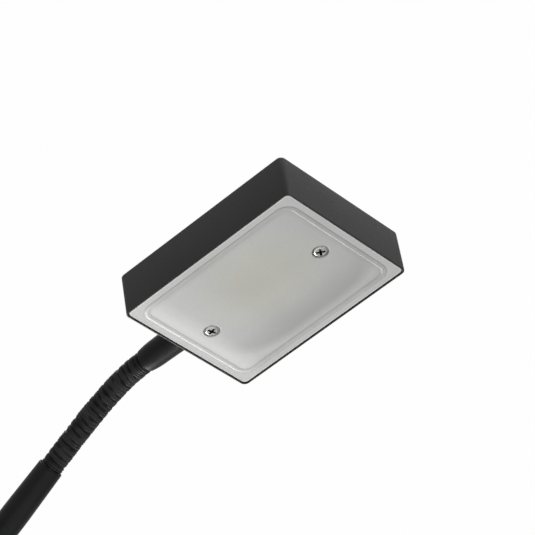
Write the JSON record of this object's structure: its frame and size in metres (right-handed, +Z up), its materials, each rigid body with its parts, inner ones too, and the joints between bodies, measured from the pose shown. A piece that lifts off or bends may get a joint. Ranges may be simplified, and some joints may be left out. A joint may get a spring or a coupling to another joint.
{
  "type": "picture light",
  "caption": "Wall-fixed picture light: flat rectangular LED head with a frosted cover, on a ribbed gooseneck and a bent arm tube rising from a wall box.",
  "frame": {"origin": "centre of the wall plate's back face, which lies on the wall", "axes": "+X out from the wall towards the head, +Z up, arm and neck in the XZ plane at rest"},
  "size_m": [0.3814, 0.071, 0.2548],
  "materials": {
    "black_texture_coat": "fine textured black powder coat",
    "black_cast_coat": "fine textured black powder coat on a die casting",
    "black_satin_coat": "satin black paint",
    "black_moulding": "satin black moulding",
    "neck_sleeve": "matt black ribbed sleeve",
    "coil_steel": "plain steel coil",
    "lead_jacket": "soft black jacket",
    "zinc_steel": "zinc plated",
    "black_screw": "black zinc",
    "screw_steel": "plain steel",
    "nickel_brass": "nickel plated brass",
    "white_case": "moulded white",
    "black_rubber": "matt",
    "grey_pad": "soft silicone",
    "board_aluminium": "white solder mask on aluminium",
    "chip_ceramic": "white ceramic",
    "phosphor": "yellow phosphor in clear silicone",
    "white_reflector": "smooth white",
    "frosted_cover": "frosted, translucent"
  },
  "bodies": {
    "wall_arm": {"wall_plate": "zinc_steel", "base_cover": "black_texture_coat", "base_cover_screws": "black_screw", "arm_bush": "black_moulding", "arm_lock_nut": "nickel_brass", "arm_tube": "black_satin_coat", "driver": "white_case", "driver_screws": "screw_steel", "terminal_block": "white_case", "terminal_screws": "screw_steel", "driver_leads": "lead_jacket", "cable_grommet": "black_rubber", "cable_clamp": "white_case", "cable_clamp_screws": "screw_steel", "earth_screw": "zinc_steel", "tube_ferrule": "black_satin_coat", "arm_lead": "lead_jacket", "neck_coil_0": "coil_steel", "neck_sleeve_0": "neck_sleeve"},
    "neck_link_1": {"neck_coil_1": "coil_steel", "neck_sleeve_1": "neck_sleeve", "neck_lead_1": "lead_jacket"},
    "neck_link_2": {"neck_coil_2": "coil_steel", "neck_sleeve_2": "neck_sleeve", "neck_lead_2": "lead_jacket"},
    "neck_link_3": {"neck_coil_3": "coil_steel", "neck_sleeve_3": "neck_sleeve", "neck_lead_3": "lead_jacket"},
    "neck_link_4": {"neck_coil_4": "coil_steel", "neck_sleeve_4": "neck_sleeve", "neck_lead_4": "lead_jacket"},
    "neck_link_5": {"neck_coil_5": "coil_steel", "neck_sleeve_5": "neck_sleeve", "neck_lead_5": "lead_jacket"},
    "neck_link_6": {"neck_coil_6": "coil_steel", "neck_sleeve_6": "neck_sleeve", "neck_lead_6": "lead_jacket"},
    "neck_link_7": {"neck_coil_7": "coil_steel", "neck_sleeve_7": "neck_sleeve", "neck_lead_7": "lead_jacket"},
    "head": {"head_housing": "black_cast_coat", "thermal_pad": "grey_pad", "led_board": "board_aluminium", "led_chip": "chip_ceramic", "led_phosphor": "phosphor", "led_board_screws": "screw_steel", "reflector_tray": "white_reflector", "lens_gasket": "black_rubber", "lens_cover": "frosted_cover", "lens_screws": "screw_steel", "head_ferrule": "black_moulding", "head_nipple": "nickel_brass", "head_lock_nut": "nickel_brass", "head_lead": "lead_jacket", "neck_coil_8": "coil_steel", "neck_sleeve_8": "neck_sleeve"}
  },
  "joints": [
    {"name": "neck_bend_1", "type": "hinge", "parent": "wall_arm", "child": "neck_link_1", "pos_m": [0.21645, 0, 0.1337], "axis": [0, -1, 0], "range_deg": [-16, 16]},
    {"name": "neck_sway_1", "type": "hinge", "parent": "neck_link_1", "child": "neck_link_2", "pos_m": [0.22286, 0, 0.13819], "axis": [-0.5707, 0, 0.8211], "range_deg": [-16, 16]},
    {"name": "neck_bend_2", "type": "hinge", "parent": "neck_link_2", "child": "neck_link_3", "pos_m": [0.2293, 0, 0.14263], "axis": [0, -1, 0], "range_deg": [-15.1, 16.9]},
    {"name": "neck_sway_2", "type": "hinge", "parent": "neck_link_3", "child": "neck_link_4", "pos_m": [0.23581, 0, 0.14698], "axis": [-0.5425, 0, 0.8401], "range_deg": [-16, 16]},
    {"name": "neck_bend_3", "type": "hinge", "parent": "neck_link_4", "child": "neck_link_5", "pos_m": [0.24245, 0, 0.15112], "axis": [0, -1, 0], "range_deg": [-13.2, 18.8]},
    {"name": "neck_sway_3", "type": "hinge", "parent": "neck_link_5", "child": "neck_link_6", "pos_m": [0.24927, 0, 0.15494], "axis": [-0.4579, 0, 0.889], "range_deg": [-16, 16]},
    {"name": "neck_bend_4", "type": "hinge", "parent": "neck_link_6", "child": "neck_link_7", "pos_m": [0.25635, 0, 0.15829], "axis": [0, -1, 0], "range_deg": [-10.7, 21.3]},
    {"name": "neck_sway_4", "type": "hinge", "parent": "neck_link_7", "child": "head", "pos_m": [0.26371, 0, 0.16095], "axis": [-0.2625, 0, 0.9649], "range_deg": [-16, 16]}
  ]
}
